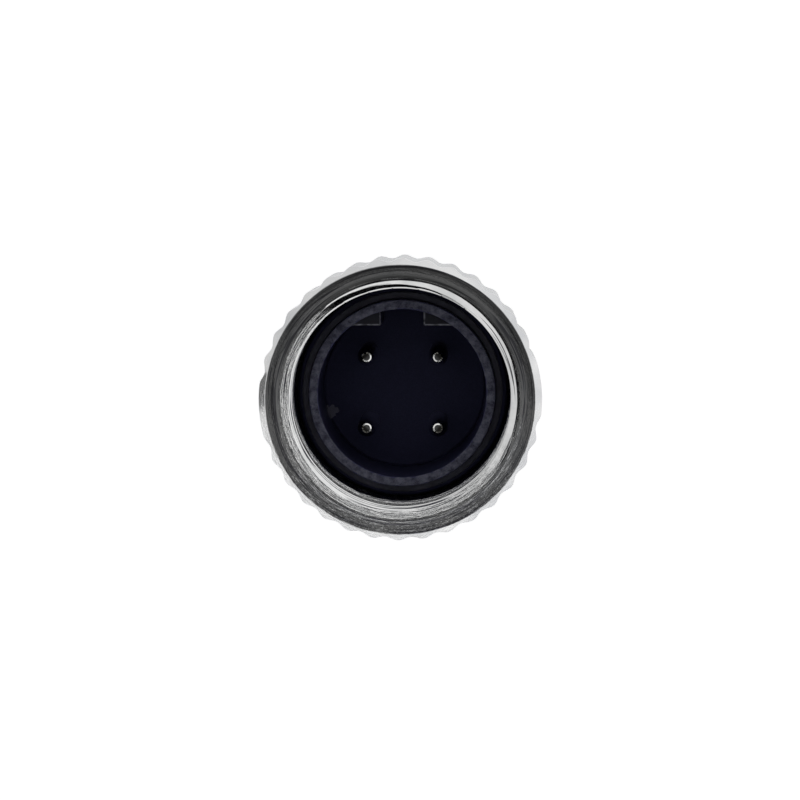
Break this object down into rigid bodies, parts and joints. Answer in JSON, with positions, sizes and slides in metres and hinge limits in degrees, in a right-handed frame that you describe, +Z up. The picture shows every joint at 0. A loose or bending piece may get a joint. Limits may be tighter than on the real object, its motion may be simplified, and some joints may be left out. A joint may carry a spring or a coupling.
{
  "type": "circular connector",
  "caption": "Cable-mounted circular connector with male contacts in a keyed socket, a free-turning fluted coupling nut and a hexagonal cable gland.",
  "frame": {"origin": "on the axis, at the rear face of the gland nut, where the connector stands", "axes": "+Z up the axis towards the mating mouth, +Y through the keyway"},
  "size_m": [0.0142, 0.0142, 0.0472],
  "materials": {
    "nickel_plate": "bright nickel plate on turned brass",
    "spring_steel": "drawn wire",
    "black_plastic": "moulded, satin",
    "black_rubber": "moulded, matt",
    "contact_plate": "bright plated, turned",
    "ivory_plastic": "moulded, satin",
    "bare_brass": "turned"
  },
  "bodies": {
    "housing": {"contact_insert": "black_plastic", "mating_seal": "black_rubber", "contact_1": "contact_plate", "contact_2": "contact_plate", "contact_3": "contact_plate", "contact_4": "contact_plate", "contact_retainer": "black_plastic", "shell_seal": "black_rubber", "back_shell": "nickel_plate", "distance_shell_left": "ivory_plastic", "distance_shell_right": "ivory_plastic", "shield_ring_front": "bare_brass", "shield_ring_rear": "bare_brass", "cable_seal": "black_rubber", "pressure_washer": "bare_brass", "pinch_ring": "black_plastic"},
    "clip": {"nut_clip": "spring_steel"},
    "nut": {"coupling_nut": "nickel_plate"},
    "thrust": {"thrust_ring": "bare_brass"},
    "gland": {"gland_nut": "nickel_plate"}
  },
  "joints": [
    {"name": "nut_float", "type": "slide", "parent": "housing", "child": "clip", "axis": [0, 0, 1], "range_m": [0, 0.0012]},
    {"name": "nut_spin", "type": "hinge", "parent": "clip", "child": "nut", "pos_m": [0, 0, 0.03695], "axis": [0, 0, 1], "continuous": true},
    {"name": "gland_feed", "type": "slide", "parent": "housing", "child": "thrust", "axis": [0, 0, 1], "range_m": [-0.0019, 0]},
    {"name": "gland_turn", "type": "hinge", "parent": "thrust", "child": "gland", "pos_m": [0, 0, 0.01055], "axis": [0, 0, 1], "range_deg": [-900, 0]}
  ],
  "couplings": [
    {"joint": "gland_feed", "follows": "gland_turn", "m_per_rad": 0.00011937}
  ]
}
